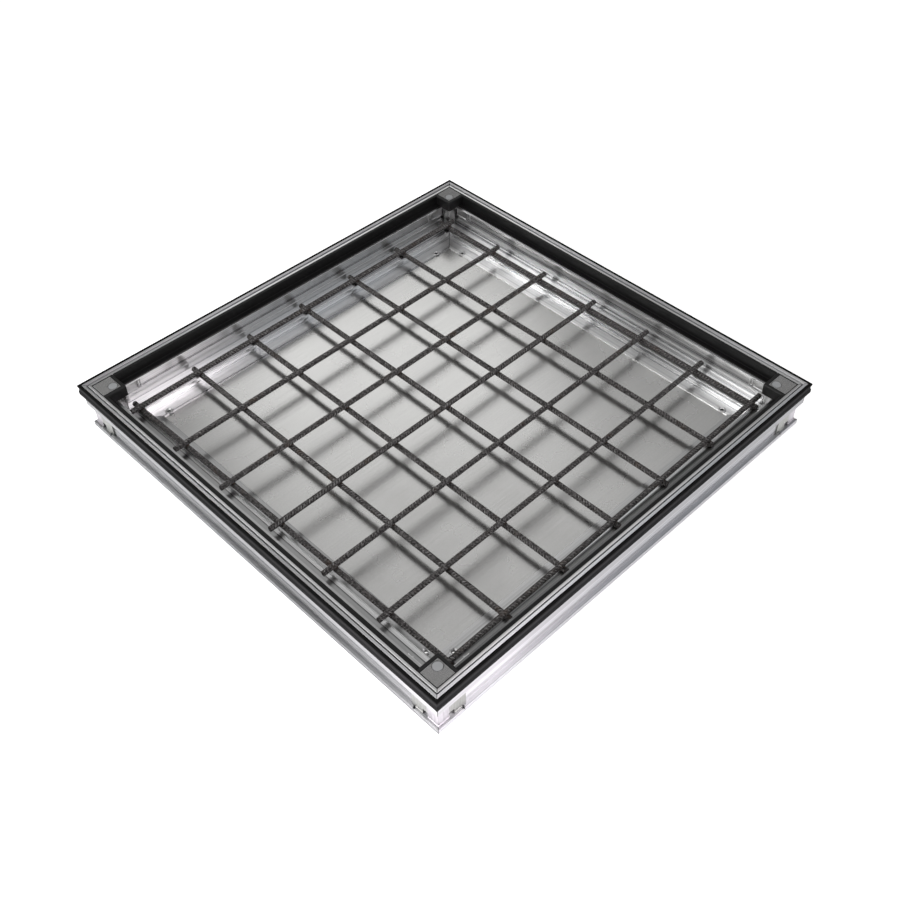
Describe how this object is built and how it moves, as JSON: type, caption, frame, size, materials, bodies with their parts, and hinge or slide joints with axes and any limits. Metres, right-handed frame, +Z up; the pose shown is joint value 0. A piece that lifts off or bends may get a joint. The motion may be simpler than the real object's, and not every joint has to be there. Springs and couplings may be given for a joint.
{
  "type": "recessed paving cover",
  "caption": "Square aluminium frame with a lift-out recessed tray for paving infill, locked corners and loose welded reinforcing mesh.",
  "frame": {"origin": "centre of the square at the underside of the frame, which stands on its bed", "axes": "+Z up out of the floor, X and Y along the frame's sides"},
  "size_m": [0.7086, 0.7086, 0.075],
  "materials": {
    "frame_aluminium": "extruded, mill finish, fine lengthwise lines",
    "tray_aluminium": "extruded, mill finish, almost mirror-like",
    "edge_plastic": "black, extruded, slight sheen",
    "liner_plastic": "black, extruded, slight sheen",
    "housing_plastic": "black, moulded",
    "cap_plastic": "mid grey, moulded",
    "plug_plastic": "light grey, moulded",
    "post_aluminium": "extruded, mill finish",
    "galvanised_steel": "galvanised sheet, cut edges bright",
    "base_sheet": "galvanised sheet, smooth, soft reflection",
    "rivet_steel": "bright",
    "zinc_plated_steel": "zinc plated",
    "seal_rubber": "black",
    "bar_steel": "hot rolled, dark mill scale with light rust"
  },
  "bodies": {
    "root": {"base_plate": "base_sheet", "base_rivets": "rivet_steel", "cap_plug_north_east": "plug_plastic", "cap_plug_north_west": "plug_plastic", "cap_plug_south_east": "plug_plastic", "cap_plug_south_west": "plug_plastic", "corner_cap_north_east": "cap_plastic", "corner_cap_north_west": "cap_plastic", "corner_cap_south_east": "cap_plastic", "corner_cap_south_west": "cap_plastic", "corner_housing_north_east": "housing_plastic", "corner_housing_north_west": "housing_plastic", "corner_housing_south_east": "housing_plastic", "corner_housing_south_west": "housing_plastic", "corner_post_north_east": "post_aluminium", "corner_post_north_west": "post_aluminium", "corner_post_south_east": "post_aluminium", "corner_post_south_west": "post_aluminium", "edge_strip_east": "edge_plastic", "edge_strip_north": "edge_plastic", "edge_strip_south": "edge_plastic", "edge_strip_west": "edge_plastic", "frame_corner_plate_north_east": "galvanised_steel", "frame_corner_plate_north_west": "galvanised_steel", "frame_corner_plate_south_east": "galvanised_steel", "frame_corner_plate_south_west": "galvanised_steel", "frame_rail_east": "frame_aluminium", "frame_rail_north": "frame_aluminium", "frame_rail_south": "frame_aluminium", "frame_rail_west": "frame_aluminium", "liner_strip_east": "liner_plastic", "liner_strip_north": "liner_plastic", "liner_strip_south": "liner_plastic", "liner_strip_west": "liner_plastic", "lock_bolts": "zinc_plated_steel", "lock_nuts": "zinc_plated_steel", "mesh_lower_bar_1": "bar_steel", "mesh_lower_bar_2": "bar_steel", "mesh_lower_bar_3": "bar_steel", "mesh_lower_bar_4": "bar_steel", "mesh_lower_bar_5": "bar_steel", "mesh_lower_bar_6": "bar_steel", "mesh_lower_bar_7": "bar_steel", "mesh_upper_bar_1": "bar_steel", "mesh_upper_bar_2": "bar_steel", "mesh_upper_bar_3": "bar_steel", "mesh_upper_bar_4": "bar_steel", "mesh_upper_bar_5": "bar_steel", "mesh_upper_bar_6": "bar_steel", "mesh_upper_bar_7": "bar_steel", "seat_gasket": "seal_rubber", "tray_corner_bracket_north_east": "galvanised_steel", "tray_corner_bracket_north_west": "galvanised_steel", "tray_corner_bracket_south_east": "galvanised_steel", "tray_corner_bracket_south_west": "galvanised_steel", "tray_rail_east": "tray_aluminium", "tray_rail_north": "tray_aluminium", "tray_rail_south": "tray_aluminium", "tray_rail_west": "tray_aluminium", "upper_seal": "seal_rubber"}
  },
  "joints": []
}
